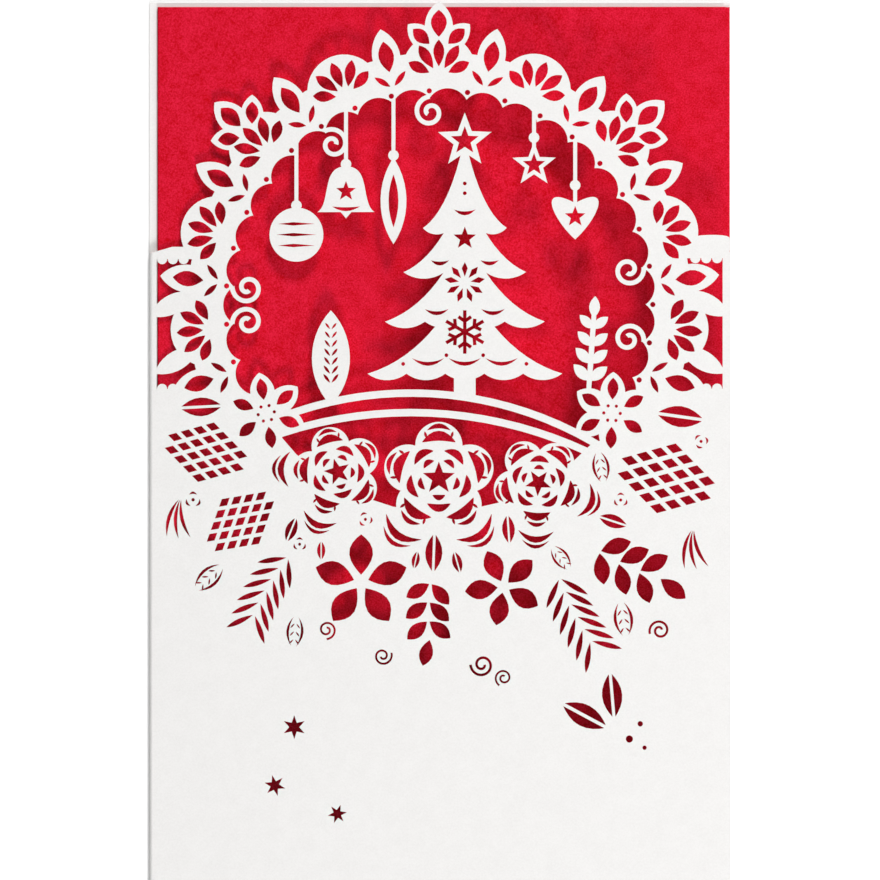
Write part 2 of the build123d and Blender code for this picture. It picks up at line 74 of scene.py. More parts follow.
# Lamps. Two soft boxes stand past the card's top and bottom edges. A weak one lights the
# right side, where the leaf stands off the insert, and another hangs above the camera.
# Each row gives a lamp's name, place, size and power.
SOFT_BOXES = (
    ("lamp_top", (0.25, 1.15, 0.76), 0.32, 13.2),
    ("lamp_bottom", (0.25, -1.15, 0.76), 0.32, 12.8),
    ("lamp_right", (0.7, 0.0, 0.6), 0.5, 1.5),
    ("lamp_front", (0.1, 0.0, 1.8), 0.5, 3.5),
)
SKY_STRENGTH = 0.12
FULL_WHITE = (1, 1, 1, 1)

for label, place, size, power in SOFT_BOXES:
    lamp = bpy.data.lights.new(label, "AREA")
    lamp.size = size
    lamp.energy = power
    holder = bpy.data.objects.new(label, lamp)
    holder.location = place
    holder.rotation_euler = (-holder.location).to_track_quat("-Z", "Y").to_euler()
    scene.collection.objects.link(holder)


def add(tree, kind, **settings):
    """A node of a kind, with its properties set."""
    node = tree.nodes.new(kind)
    for label, value in settings.items():
        setattr(node, label, value)
    return node


def seen_rays(tree):
    """One where a ray comes from the camera, a gloss or a clear surface."""
    path = add(tree, "ShaderNodeLightPath")
    either = add(tree, "ShaderNodeMath", operation="MAXIMUM")
    tree.links.new(path.outputs["Is Camera Ray"], either.inputs[0])
    tree.links.new(path.outputs["Is Glossy Ray"], either.inputs[1])
    all_rays = add(tree, "ShaderNodeMath", operation="MAXIMUM")
    tree.links.new(either.outputs[0], all_rays.inputs[0])
    tree.links.new(path.outputs["Is Transmission Ray"], all_rays.inputs[1])
    return all_rays.outputs[0]


sky = bpy.data.worlds.new("sky")
scene.world = sky
sky.use_nodes = True
sky_nodes = sky.node_tree
strength = add(sky_nodes, "ShaderNodeMix", data_type="FLOAT")
strength.inputs["A"].default_value = SKY_STRENGTH
strength.inputs["B"].default_value = 1
sky_nodes.links.new(seen_rays(sky_nodes), strength.inputs["Factor"])
sky_nodes.nodes["Background"].inputs["Color"].default_value = FULL_WHITE
sky_nodes.links.new(strength.outputs["Result"], sky_nodes.nodes["Background"].inputs["Strength"])


# Floor. A white sheet of paper under the card, wide enough for every view; it glows a
# little towards the camera, so that it reads as pure white and still keeps the shadow.
# Past the reach of the lamps it glows more, so that low views end in white as well.
FLOOR_HALF = 3.0
FLOOR_DROP = 0.00005
FLOOR_CORNERS = ((-1, -1), (1, -1), (1, 1), (-1, 1))
FLOOR_PAPER = (0.9, 0.9, 0.9, 1)
FLOOR_ROUGHNESS = 0.9
FLOOR_GLOW = (0.2, 0.9)
GLOW_REACH = (0.35, 1.3)

floor_mesh = bpy.data.meshes.new("floor")
floor_mesh.from_pydata(
    [(FLOOR_HALF * x, FLOOR_HALF * y, -FLOOR_DROP) for x, y in FLOOR_CORNERS], [],
    [range(len(FLOOR_CORNERS))],
)
floor = bpy.data.objects.new("floor", floor_mesh)
scene.collection.objects.link(floor)
floor_paint = bpy.data.materials.new("floor_paper")
floor_paint.use_nodes = True
floor_nodes = floor_paint.node_tree
floor_shader = floor_nodes.nodes["Principled BSDF"]
floor_shader.inputs["Base Color"].default_value = FLOOR_PAPER
floor_shader.inputs["Roughness"].default_value = FLOOR_ROUGHNESS
floor_shader.inputs["Emission Color"].default_value = FULL_WHITE
away = add(floor_nodes, "ShaderNodeVectorMath", operation="LENGTH")
floor_nodes.links.new(add(floor_nodes, "ShaderNodeTexCoord").outputs["Object"], away.inputs[0])
rise = add(floor_nodes, "ShaderNodeMapRange", interpolation_type="SMOOTHSTEP")
for label, value in zip(("From Min", "From Max", "To Min", "To Max"), GLOW_REACH + FLOOR_GLOW):
    rise.inputs[label].default_value = value
floor_nodes.links.new(away.outputs["Value"], rise.inputs["Value"])
glow = add(floor_nodes, "ShaderNodeMath", operation="MULTIPLY")
floor_nodes.links.new(seen_rays(floor_nodes), glow.inputs[0])
floor_nodes.links.new(rise.outputs["Result"], glow.inputs[1])
floor_nodes.links.new(glow.outputs[0], floor_shader.inputs["Emission Strength"])
floor_mesh.materials.append(floor_paint)


# Insert. A sheet of red pearlescent paper, folded once and slipped into the cover; its
# two leaves are a little smaller than the cover's, so a white rim shows round them.
RED_DEEP = (0.54, 0.0, 0.006, 1)
RED_BRIGHT = (0.75, 0.012, 0.048, 1)
FINE_DETAIL = 2
CLOUD_DETAIL = 3
CLOUD_SHARE = 0.3
COAT_ROUGHNESS = 0.4


def noise(tree, coordinates, scale, detail):
    """Noise of a size in features per metre."""
    node = add(tree, "ShaderNodeTexNoise")
    node.inputs["Scale"].default_value = scale
    node.inputs["Detail"].default_value = detail
    tree.links.new(coordinates, node.inputs["Vector"])
    return node.outputs["Fac"]


def blend_of(tree, first, second, share):
    """Two fields mixed by a share."""
    node = add(tree, "ShaderNodeMix", data_type="FLOAT")
    node.inputs["Factor"].default_value = share
    tree.links.new(first, node.inputs["A"])
    tree.links.new(second, node.inputs["B"])
    return node.outputs["Result"]


def ramp(tree, field, stops, tones):
    """A field turned into colour by two stops and their tones."""
    node = add(tree, "ShaderNodeValToRGB")
    for element, stop, tone in zip(node.color_ramp.elements, stops, tones):
        element.position = stop
        element.color = tone
    tree.links.new(field, node.inputs["Fac"])
    return node.outputs["Color"]


def bump(tree, field, height, shader):
    """Relief from a field, of a height in metres."""
    node = add(tree, "ShaderNodeBump")
    node.inputs["Strength"].default_value = 1
    node.inputs["Distance"].default_value = height
    tree.links.new(field, node.inputs["Height"])
    tree.links.new(node.outputs["Normal"], shader.inputs["Normal"])


def finish_of(name):
    """A new material, with its tree, its shader and the coordinates of the piece."""
    material = bpy.data.materials.new(name)
    material.use_nodes = True
    tree = material.node_tree
    return material, tree, tree.nodes["Principled BSDF"], add(tree, "ShaderNodeTexCoord").outputs["Object"]


def pearl_paper(name, tones, stops, grain, cloud, relief, roughness, gloss, coat):
    """Paper with a fine shimmer: grain and soft clouds, in features per metre, between two tones."""
    material, tree, shader, place = finish_of(name)
    fine = noise(tree, place, grain, FINE_DETAIL)
    soft = noise(tree, place, cloud, CLOUD_DETAIL)
    field = blend_of(tree, fine, soft, CLOUD_SHARE)
    tree.links.new(ramp(tree, field, stops, tones), shader.inputs["Base Color"])
    shader.inputs["Roughness"].default_value = roughness
    shader.inputs["Specular IOR Level"].default_value = gloss
    shader.inputs["Coat Weight"].default_value = coat
    shader.inputs["Coat Roughness"].default_value = COAT_ROUGHNESS
    bump(tree, fine, relief, shader)
    return material


insert = frame["nodes"]["insert"]
insert.data.materials.clear()
insert.data.materials.append(pearl_paper(
    "red_pearl_paper", (RED_DEEP, RED_BRIGHT), stops=(0.36, 0.64), grain=3000, cloud=420, relief=0.00002,
    roughness=0.5, gloss=0.06, coat=0.0,
))


# Tape. A thin clear strip, sticky on both faces, holds the insert's lower leaf to the
# back of the cover, just beside the fold, where nobody sees it.
TAPE_DEEP = (0.78, 0.76, 0.7, 1)
TAPE_BRIGHT = (0.88, 0.87, 0.83, 1)
MOTTLE_STOPS = (0.3, 0.7)


def mottled(name, tones, scale, roughness):
    """A finish that drifts between two tones."""
    material, tree, shader, place = finish_of(name)
    field = noise(tree, place, scale, FINE_DETAIL)
    tree.links.new(ramp(tree, field, MOTTLE_STOPS, tones), shader.inputs["Base Color"])
    shader.inputs["Roughness"].default_value = roughness
    return material


tape = frame["nodes"]["adhesive_strip"]
tape.data.materials.clear()
tape.data.materials.append(mottled("tape_film", (TAPE_DEEP, TAPE_BRIGHT), scale=260, roughness=0.3))


# Cover. One sheet of white pearlescent card, folded down its left edge, its front leaf cut
# by laser. The finest cuts are made here: they are drawn flat, as the cutter's file has
# them, from the middle of the leaf, and tipped up with it about the fold.
WHITE_DEEP = (0.845, 0.832, 0.818, 1)
WHITE_BRIGHT = (0.9, 0.888, 0.875, 1)
# The two edge tones are far darker than the card: partly the toast a laser leaves, partly painted shade for
# the shadow that falls in the narrow cuts.
EDGE_TOAST_AND_SHADE_DEEP = (0.48, 0.424, 0.36, 1)
EDGE_TOAST_AND_SHADE_BRIGHT = (0.6, 0.53, 0.45, 1)
FOLD_X = -0.0592
FOLD_Z = 0.0008
LEAF_Z = 0.00145
OPEN_ANGLE = math.radians(4.5)
WINDOW_R = 0.0446
RING_Y = 0.03006
CUT_DEPTH = 0.0012
STROKE_DEPTH = 0.00026
QUARTER = 90

white_pearl = pearl_paper(
    "white_pearl_card", (WHITE_DEEP, WHITE_BRIGHT), stops=(0.3, 0.65), grain=2600, cloud=300, relief=0.000008,
    roughness=0.6, gloss=0.12, coat=0.05,
)
# The walls' finish: a little toast, with painted shade for the slits.
edge_toast_and_painted_shade = mottled("edge_toast_and_painted_shade", (EDGE_TOAST_AND_SHADE_DEEP, EDGE_TOAST_AND_SHADE_BRIGHT), scale=1500, roughness=0.85)
leaf_tilt = (
    Matrix.Translation((FOLD_X, 0, FOLD_Z))
    @ Matrix.Rotation(-OPEN_ANGLE, 4, "Y")
    @ Matrix.Translation((-FOLD_X, 0, LEAF_Z - FOLD_Z))
)


def sockets(tree, inputs):
    """Gives a tree its geometry sockets and its named sizes."""
    tree.interface.new_socket("Geometry", in_out="INPUT", socket_type="NodeSocketGeometry")
    tree.interface.new_socket("Geometry", in_out="OUTPUT", socket_type="NodeSocketGeometry")
    for label, kind, value in inputs:
        socket = tree.interface.new_socket(label, in_out="INPUT", socket_type="NodeSocket" + kind)
        socket.default_value = value
    return add(tree, "NodeGroupInput").outputs


def feed(tree, inputs, terms):
    """Sets sockets to numbers, or links other sockets to them."""
    for socket, term in zip(inputs, terms):
        if isinstance(term, (int, float)):
            socket.default_value = term
        else:
            tree.links.new(term, socket)


def calc(tree, operation, *terms):
    """A math node fed by sockets or numbers."""
    node = add(tree, "ShaderNodeMath", operation=operation)
    feed(tree, node.inputs, terms)
    return node.outputs[0]


def times(tree, first, *others):
    """The product of sockets or numbers."""
    for other in others:
        first = calc(tree, "MULTIPLY", first, other)
    return first


def plus(tree, first, *others):
    """The sum of sockets or numbers."""
    for other in others:
        first = calc(tree, "ADD", first, other)
    return first


def scaled(tree, value, factor, offset):
    """A value times a factor, plus an offset."""
    return calc(tree, "MULTIPLY_ADD", value, factor, offset)


def vector(tree, *terms):
    """Three sockets or numbers as one vector."""
    node = add(tree, "ShaderNodeCombineXYZ")
    feed(tree, node.inputs, terms)
    return node.outputs[0]


def named(tree, label):
    """A number that each place carries."""
    node = add(tree, "GeometryNodeInputNamedAttribute", data_type="FLOAT")
    node.inputs["Name"].default_value = label
    return node.outputs["Attribute"]


SHAPE_SIZES = (
    ("Width", "Float", 0.001), ("Length", "Float", 0.003), ("Belly", "Float", 0.0),
    ("Bend", "Float", 0.0), ("Point", "Float", 1.0), ("Aside", "Float", 0.0),
    ("Middle", "Float", 0.0), ("Sides", "Int", 20), ("Depth", "Float", CUT_DEPTH),
)


def leaf_prism(tree, sizes):
    """A closed prism whose outline is a leaf, drop, dot or slit along +Y.

    Its half width follows a power of how far the outline has come round, its belly can
    sit past the middle, and it can bend sideways like a blade of grass."""
    prism = add(tree, "GeometryNodeMeshCylinder", fill_type="NGON")
    prism.inputs["Radius"].default_value = 1
    tree.links.new(sizes["Sides"], prism.inputs["Vertices"])
    tree.links.new(sizes["Depth"], prism.inputs["Depth"])
    raw = add(tree, "ShaderNodeSeparateXYZ")
    tree.links.new(add(tree, "GeometryNodeInputPosition").outputs[0], raw.inputs[0])
    along, across, up = raw.outputs
    share = scaled(tree, along, -0.5, 0.5)
    reach = calc(tree, "POWER", calc(tree, "ABSOLUTE", across), times(tree, sizes["Point"], 2))
    side = times(tree, calc(tree, "SIGN", across), times(tree, sizes["Width"], 0.5))
    skew = scaled(tree, scaled(tree, share, 2, -1), sizes["Belly"], 1)
    bow = times(tree, times(tree, across, across), times(tree, sizes["Bend"], sizes["Length"]))
    x = plus(tree, times(tree, side, reach, skew), bow, sizes["Aside"])
    y = times(tree, scaled(tree, sizes["Middle"], -0.5, share), sizes["Length"])
    shaped = add(tree, "GeometryNodeSetPosition")
    tree.links.new(prism.outputs["Mesh"], shaped.inputs["Geometry"])
    tree.links.new(vector(tree, x, y, up), shaped.inputs["Position"])
    return shaped.outputs[0]


def copies(tree, geometry, count):
    """Each place repeated, with the number of each copy."""
    node = add(tree, "GeometryNodeDuplicateElements", domain="POINT")
    tree.links.new(geometry, node.inputs["Geometry"])
    tree.links.new(count, node.inputs["Amount"])
    return node.outputs[0], node.outputs[1]


def moved(tree, points, x, y):
    """Points shifted in the plane of the leaf."""
    node = add(tree, "GeometryNodeSetPosition")
    tree.links.new(points, node.inputs["Geometry"])
    tree.links.new(vector(tree, x, y, 0), node.inputs["Offset"])
    return node.outputs[0]


def stamp(tree, points, solid, turn, size):
    """Sets the solid on every point, turned and sized, and ends the tree."""
    placed = add(tree, "GeometryNodeInstanceOnPoints")
    tree.links.new(points, placed.inputs["Points"])
    tree.links.new(solid, placed.inputs["Instance"])
    tree.links.new(vector(tree, 0, 0, turn), placed.inputs["Rotation"])
    tree.links.new(vector(tree, size, size, 1), placed.inputs["Scale"])
    real = add(tree, "GeometryNodeRealizeInstances")
    tree.links.new(placed.outputs[0], real.inputs[0])
    painted = add(tree, "GeometryNodeSetMaterial")
    painted.inputs["Material"].default_value = edge_toast_and_painted_shade
    tree.links.new(real.outputs[0], painted.inputs[0])
    tree.links.new(painted.outputs[0], add(tree, "NodeGroupOutput").inputs[0])


def fan_tree():
    """Shapes in a ring or a fan round each place."""
    tree = bpy.data.node_groups.new("shapes_round_a_place", "GeometryNodeTree")
    sizes = sockets(tree, SHAPE_SIZES + (
        ("Count", "Int", 1), ("Sweep", "Float", 0.0), ("Foot", "Float", 0.0), ("Tilt", "Float", 0.0),
    ))
    points, number = copies(tree, sizes["Geometry"], sizes["Count"])
    middle = scaled(tree, sizes["Count"], 0.5, -0.5)
    swing = times(tree, calc(tree, "SUBTRACT", number, middle), sizes["Sweep"])
    turn = plus(tree, named(tree, "turn"), swing)
    size = named(tree, "size")
    foot = times(tree, sizes["Foot"], size)
    x = times(tree, calc(tree, "SINE", turn), foot, -1)
    y = times(tree, calc(tree, "COSINE", turn), foot)
    facing = plus(tree, turn, sizes["Tilt"])
    stamp(tree, moved(tree, points, x, y), leaf_prism(tree, sizes), facing, size)
    return tree


def stem_tree():
    """Shapes in pairs along a stem that curves away from each place."""
    tree = bpy.data.node_groups.new("shapes_along_a_stem", "GeometryNodeTree")
    sizes = sockets(tree, SHAPE_SIZES + (
        ("Pairs", "Int", 6), ("Stem", "Float", 0.01), ("Stem bend", "Float", 0.2),
        ("Lean", "Float", 0.7), ("Gap", "Float", 0.0004), ("Taper", "Float", 0.0),
    ))
    points, number = copies(tree, sizes["Geometry"], times(tree, sizes["Pairs"], 2))
    pair = calc(tree, "FLOOR", scaled(tree, number, 0.5, 0.25))
    side = scaled(tree, calc(tree, "MODULO", number, 2), 2, -1)
    share = calc(tree, "DIVIDE", plus(tree, pair, 1), plus(tree, sizes["Pairs"], 1))
    bend = times(tree, sizes["Stem bend"], share)
    root, size = named(tree, "turn"), named(tree, "size")
    slope = calc(tree, "ARCTANGENT", times(tree, bend, 2))
    facing = plus(tree, root, plus(tree, slope, times(tree, side, sizes["Lean"])))
    step = times(tree, sizes["Stem"], share, size)
    out = times(tree, step, bend, -1)
    sine, cosine = calc(tree, "SINE", root), calc(tree, "COSINE", root)
    gap_x = times(tree, calc(tree, "SINE", facing), sizes["Gap"])
    gap_y = times(tree, calc(tree, "COSINE", facing), sizes["Gap"])
    x = calc(tree, "SUBTRACT", times(tree, out, cosine), scaled(tree, step, sine, gap_x))
    y = plus(tree, times(tree, out, sine), scaled(tree, step, cosine, gap_y))
    narrow = times(tree, scaled(tree, times(tree, share, sizes["Taper"]), -1, 1), size)
    stamp(tree, moved(tree, points, x, y), leaf_prism(tree, sizes), facing, narrow)
    return tree


def curl_tree():
    """A flat spiral at each place."""
    tree = bpy.data.node_groups.new("curl_at_a_place", "GeometryNodeTree")
    sizes = sockets(tree, (
        ("Rounds", "Float", 1.25), ("Inner", "Float", 0.0004), ("Outer", "Float", 0.003),
        ("Width", "Float", 0.0006), ("Depth", "Float", CUT_DEPTH), ("Backwards", "Bool", False),
    ))
    spiral = add(tree, "GeometryNodeCurveSpiral")
    spiral.inputs["Resolution"].default_value = 28
    spiral.inputs["Height"].default_value = 0
    for label, source in (
        ("Rotations", "Rounds"), ("Start Radius", "Inner"), ("End Radius", "Outer"), ("Reverse", "Backwards"),
    ):
        tree.links.new(sizes[source], spiral.inputs[label])
    upright = add(tree, "GeometryNodeSetCurveNormal", mode="Z_UP")
    tree.links.new(spiral.outputs[0], upright.inputs["Curve"])
    section = add(tree, "GeometryNodeCurvePrimitiveQuadrilateral", mode="RECTANGLE")
    tree.links.new(sizes["Width"], section.inputs["Width"])
    tree.links.new(sizes["Depth"], section.inputs["Height"])
    ribbon = add(tree, "GeometryNodeCurveToMesh")
    tree.links.new(upright.outputs[0], ribbon.inputs["Curve"])
    tree.links.new(section.outputs[0], ribbon.inputs["Profile Curve"])
    ribbon.inputs["Fill Caps"].default_value = True
    stamp(tree, sizes["Geometry"], ribbon.outputs[0], named(tree, "turn"), named(tree, "size"))
    return tree


FAN, STEM, CURL = fan_tree(), stem_tree(), curl_tree()
ANGLES = ("sweep", "tilt", "lean")
cuts = bpy.data.collections.new("cuts")
strokes = bpy.data.collections.new("strokes")
for group in (cuts, strokes):
    scene.collection.children.link(group)


def draw(group, tree, rows, **sizes):
    """Shapes at places, from rows of x, y, turn and size, and a tree's sizes; turns are in degrees."""
    mesh = bpy.data.meshes.new("places")
    mesh.from_pydata([(x, y, 0) for x, y, _, _ in rows], [], [])
    turns = [math.radians(row[2]) for row in rows]
    for label, numbers in (("turn", turns), ("size", [row[3] for row in rows])):
        mesh.attributes.new(label, "FLOAT", "POINT").data.foreach_set("value", numbers)
    places = bpy.data.objects.new("places", mesh)
    places.matrix_world = leaf_tilt
    group.objects.link(places)
    worker = places.modifiers.new("work", "NODES")
    worker.node_group = tree
    wanted = {}
    for label, value in sizes.items():
        wanted[label.replace("_", " ").capitalize()] = math.radians(value) if label in ANGLES else value
    for item in tree.interface.items_tree:
        if item.in_out == "INPUT" and item.name in wanted:
            worker[item.identifier] = wanted.pop(item.name)
    assert not wanted, wanted


def cut(tree, rows, **sizes):
    """Openings, which are taken out of the sheet at the end."""
    draw(cuts, tree, rows, **sizes)


def leave(tree, rows, **sizes):
    """Thin card that the cutter leaves, which is joined to the sheet at the end."""
    draw(strokes, tree, rows, depth=STROKE_DEPTH, **sizes)


def from_ring(*rows):
    """Rows of x, y, turn and size, x and y as shares of the window's radius from its centre."""
    return [(x * WINDOW_R, RING_Y + y * WINDOW_R, turn, size) for x, y, turn, size in rows]


def on_ring(angles, reach, size=1):
    """Places on a circle round the window's centre, facing outward."""
    rows = []
    for angle in angles:
        x, y = math.cos(math.radians(angle)), math.sin(math.radians(angle))
        rows.append((reach * x * WINDOW_R, RING_Y + reach * y * WINDOW_R, angle - QUARTER, size))
    return rows


def turned(rows, degrees):
    """The same places, turned further."""
    return [(x, y, turn + degrees, size) for x, y, turn, size in rows]


def all_round(count):
    """The sizes of an even ring."""
    return dict(count=count, sweep=360 / count)


def dot(width):
    """The sizes of a round dot."""
    return dict(width=width, length=width, point=0.5, middle=1, sides=14)


# Lace head: each kite of the fans, buds and finials is opened out to a rounded petal, a
# pair of leaves hangs under each bud, and a pearl sits in every cusp of the window.
HEAD_STEP = 24
LOBES = [QUARTER + HEAD_STEP * i for i in range(-4, 5)]
BUDS = [QUARTER + HEAD_STEP * (i + 0.5) for i in range(-5, 5)]
FINIALS = [QUARTER + 2 * HEAD_STEP * i for i in range(-1, 2)]
CUSP_STEP = 360 / 35
CUSPS = [CUSP_STEP * i for i in range(-2, 20)]

petal = dict(width=0.0505 * WINDOW_R, belly=0.25, foot=0.049 * WINDOW_R)
cut(FAN, on_ring(LOBES, reach=1.05), count=3, sweep=32, length=0.1245 * WINDOW_R, **petal)
cut(FAN, on_ring(LOBES, reach=1.05), count=2, sweep=128, length=0.1075 * WINDOW_R, **petal)
cut(FAN, on_ring(BUDS, reach=1.098), width=0.072 * WINDOW_R, length=0.144 * WINDOW_R, belly=0.1)
cut(
    FAN, on_ring(BUDS, reach=1.022), count=2, sweep=96, foot=0.014 * WINDOW_R,
    width=0.026 * WINDOW_R, length=0.085 * WINDOW_R,
)
finial = dict(width=0.074 * WINDOW_R, length=0.125 * WINDOW_R, foot=0.071 * WINDOW_R, belly=0.15)
cut(FAN, on_ring(FINIALS, reach=1.165), **finial)
cut(FAN, on_ring(FINIALS, reach=1.165, size=0.82), count=2, sweep=96, **finial)
cut(FAN, on_ring(CUSPS, reach=0.988), **dot(0.0011))


# Fir tree: drapes of curved slits over the hems, with beads between them. A drape has its
# height above the tree's foot, its chord, and the places of its slits across the tree.
TREE_X = 0.12
TREE_FOOT = -0.4255
DRAPES = (
    (0.18, 0.15, (-0.17, 0, 0.17)), (0.406, 0.11, (-0.13, 0.13)),
    (0.631, 0.085, (-0.115, 0.115)), (0.865, 0.1, (0,)),
)
BEADS = ((-0.085, 0.193), (0.085, 0.193), (-0.285, 0.153), (0.285, 0.153), (0, 0.94), (0, 0.985))

slit = dict(width=0.0008, middle=1, tilt=QUARTER)
for height, chord, places in DRAPES:
    rows = from_ring(*[(TREE_X + x, TREE_FOOT + height, 180, 1) for x in places])
    cut(FAN, rows, length=chord * WINDOW_R, bend=0.18, **slit)
cut(FAN, from_ring(*[(TREE_X + x, TREE_FOOT + y, 0, 1) for x, y in BEADS]), **dot(0.0008))


# Slender tree: needles in pairs up the middle. Right of the fir stands a leafy sprig, a
# straight stem with four pairs of leaves and one at its tip.
NEEDLES = from_ring((-0.5, -0.405, 0, 1))
SPRIG = from_ring((0.69, -0.43, -4, 1))

cut(
    STEM, NEEDLES, pairs=7, stem=0.33 * WINDOW_R, stem_bend=0.0, lean=38, gap=0.00025, taper=0.35,
    width=0.00065, length=0.0024, belly=0.2,
)
leave(
    STEM, SPRIG, pairs=4, stem=0.4 * WINDOW_R, stem_bend=0.0, lean=48, gap=0.0, taper=0.25,
    width=0.055 * WINDOW_R, length=0.11 * WINDOW_R,
)
leave(FAN, SPRIG, width=0.0011, length=0.42 * WINDOW_R, point=0.12)
leave(FAN, SPRIG, foot=0.37 * WINDOW_R, width=0.05 * WINDOW_R, length=0.1 * WINDOW_R)


# Side openings: scallops run along their straight edges, and the right shoulder stands
# a little higher than the left one.
SHOULDER = from_ring((1.1745, 0.275, -QUARTER, 1))
SCALLOPS = ((1.284, 0.213), (1.234, 0.213), (1.184, 0.213), (1.284, -0.387), (1.234, -0.387))

leave(FAN, SHOULDER, width=0.09 * WINDOW_R, length=0.17 * WINDOW_R, point=0.12)
scallops = from_ring(*[(side * x, y, 0, 1) for side in (-1, 1) for x, y in SCALLOPS])
leave(FAN, scallops, **dot(0.047 * WINDOW_R))


# Ornaments: a curved slit makes a band round the bell, a rounder slot runs down the
# icicle, and each of the five threads that they hang from carries a bead.
BELL_BAND = from_ring((-0.43, 0.455, 180, 1))
ICICLE = from_ring((-0.21, 0.358, 0, 1))
THREAD_BEADS = from_ring(
    (-0.66, 0.46, 0, 1), (-0.43, 0.65, 0, 1), (-0.21, 0.69, 0, 1), (0.44, 0.77, 0, 1), (0.63, 0.55, 0, 1),
)

cut(FAN, BELL_BAND, length=0.13 * WINDOW_R, bend=0.1, **slit)
cut(FAN, ICICLE, width=0.046 * WINDOW_R, length=0.244 * WINDOW_R)
leave(FAN, THREAD_BEADS, **dot(0.0022))


# Scrolls: curls that grow from the cusps into the window. A scroll has its cusp's number
# and says whether it winds backwards.
SCROLLS = ((1, True), (-1, False), (17, False), (18, True), (12, True), (9, False))
SCROLL_TURNS = {True: -36, False: 216}

for cusp, backwards in SCROLLS:
    rows = on_ring([CUSP_STEP * cusp], reach=0.89, size=0.9)
    leave(
        CURL, turned(rows, SCROLL_TURNS[backwards]), rounds=1.35, inner=0.0007, outer=0.08 * WINDOW_R,
        width=0.00105, backwards=backwards,
    )


# Rosettes: turns of curled petals round the star in the eye, and the outlines of the
# petals that lie on the plain sheet. A curl has its foot, chord, width and turn.
CENTRE, LEFT, RIGHT = (0, -0.8, 0, 0.26), (-0.47, -0.77, 15, 0.21), (0.46, -0.82, 33, 0.21)
ROSETTES = from_ring(CENTRE, LEFT, RIGHT)
OUTLINED = ((CENTRE, 144), (CENTRE, 216), (LEFT, 72), (LEFT, 144), (RIGHT, 144), (RIGHT, 216))
CURLS = ((0.3, 0.23, 0.1, 36), (0.45, 0.42, 0.14, 36), (0.64, 0.6, 0.18, 0), (0.85, 0.42, 0.09, 0))
OUTLINES = ((1.06, 0.78, 0.14), (1.26, 0.6, 0.08))
VEIN_TURNS = (-17, 17)

curled = dict(middle=1, tilt=QUARTER, point=0.8)
for foot, chord, width, degrees in CURLS:
    cut(
        FAN, turned(ROSETTES, degrees), foot=foot * WINDOW_R, length=chord * WINDOW_R,
        width=width * WINDOW_R, bend=0.19, **curled, **all_round(5),
    )
for degrees in VEIN_TURNS:
    cut(
        FAN, turned(ROSETTES, degrees), foot=0.74 * WINDOW_R, length=0.13 * WINDOW_R,
        width=0.05 * WINDOW_R, **all_round(5),
    )
outlined = from_ring(*[(x, y, turn + more, size) for (x, y, turn, size), more in OUTLINED])
for foot, chord, width in OUTLINES:
    cut(
        FAN, outlined, foot=foot * WINDOW_R, length=chord * WINDOW_R, width=width * WINDOW_R,
        bend=0.25, **curled,
    )


# Pointed flowers: the opening down each of the six petals is rounded, and a ring of six
# seeds is pricked round the eye.
FLOWERS = from_ring((-0.8, -0.5, 10, 0.19), (0.8, -0.5, -2, 0.19))

cut(
    FAN, turned(FLOWERS, 30), foot=0.33 * WINDOW_R, length=0.53 * WINDOW_R, width=0.27 * WINDOW_R,
    belly=0.15, **all_round(6),
)
cut(FAN, FLOWERS, foot=0.2 * WINDOW_R, **dot(0.08 * WINDOW_R), **all_round(6))


# Cut flowers and twigs: every kite is opened out to a rounded petal, leaf or needle, and a
# spray ends in a leaf at the far end of its bent stem.
BLOOMS = from_ring((-0.36, -1.28, 0, 0.22), (0.3, -1.3, 25, 0.18))
FIR_TWIGS = from_ring((-0.66, -1.12, 138, 0.42), (0.54, -1.2, -165, 0.44))
SPRAYS = from_ring((-0.02, -1.2, 165, 0.34), (0.66, -1.08, -128, 0.4))
STEM_BEND = 0.2


def tips(rows):
    """The far ends of bent stems."""
    ends = []
    for x, y, turn, size in rows:
        sine, cosine = math.sin(math.radians(turn)), math.cos(math.radians(turn))
        reach = size * WINDOW_R
        x_end = x - reach * (STEM_BEND * cosine + sine)
        y_end = y + reach * (cosine - STEM_BEND * sine)
        ends.append((x_end, y_end, turn, size))
    return ends


cut(
    FAN, BLOOMS, foot=0.155 * WINDOW_R, length=0.85 * WINDOW_R, width=0.5 * WINDOW_R, belly=0.18,
    **all_round(5),
)
bent = dict(stem=WINDOW_R, stem_bend=STEM_BEND, gap=0.00034)
cut(
    STEM, FIR_TWIGS, pairs=6, lean=42, width=0.0575 * WINDOW_R, length=0.325 * WINDOW_R, belly=0.18,
    **bent,
)
broad = dict(width=0.187 * WINDOW_R, length=0.363 * WINDOW_R, belly=0.16)
cut(STEM, SPRAYS, pairs=3, lean=50, **bent, **broad)
cut(FAN, tips(SPRAYS), **broad)


# Leaves between them: solid ones with a rib left in the sheet, and outlined ones with
# veins. Each is cut as two halves that bow apart.
RIB = 0.00033
OUTLINE_RIB = 0.0006
SOLID_LEAVES = from_ring(
    (0.78, -1.95, 62, 1), (0.81, -1.91, 5, 0.917), (-0.02, -1.05, 178, 0.78), (0.07, -1.135, 196, 0.45),
    (-0.098, -1.135, 168, 0.36), (0.317, -0.965, 184, 0.58), (-0.545, -1.088, 180, 0.38),
    (-0.66, -0.98, 158, 0.52), (0.735, -0.975, -108, 0.6), (-1.0, -0.465, 93, 0.85), (1.0, -0.5, -98, 0.95),
)
VEINED_LEAVES = from_ring(
    (0.735, -0.67, -170, 0.8), (0.52, -1.11, -142, 0.72), (-1.0, -1.2, 132, 0.9), (-0.66, -1.43, 175, 0.8),
    (0.84, -1.36, -172, 0.9),
)

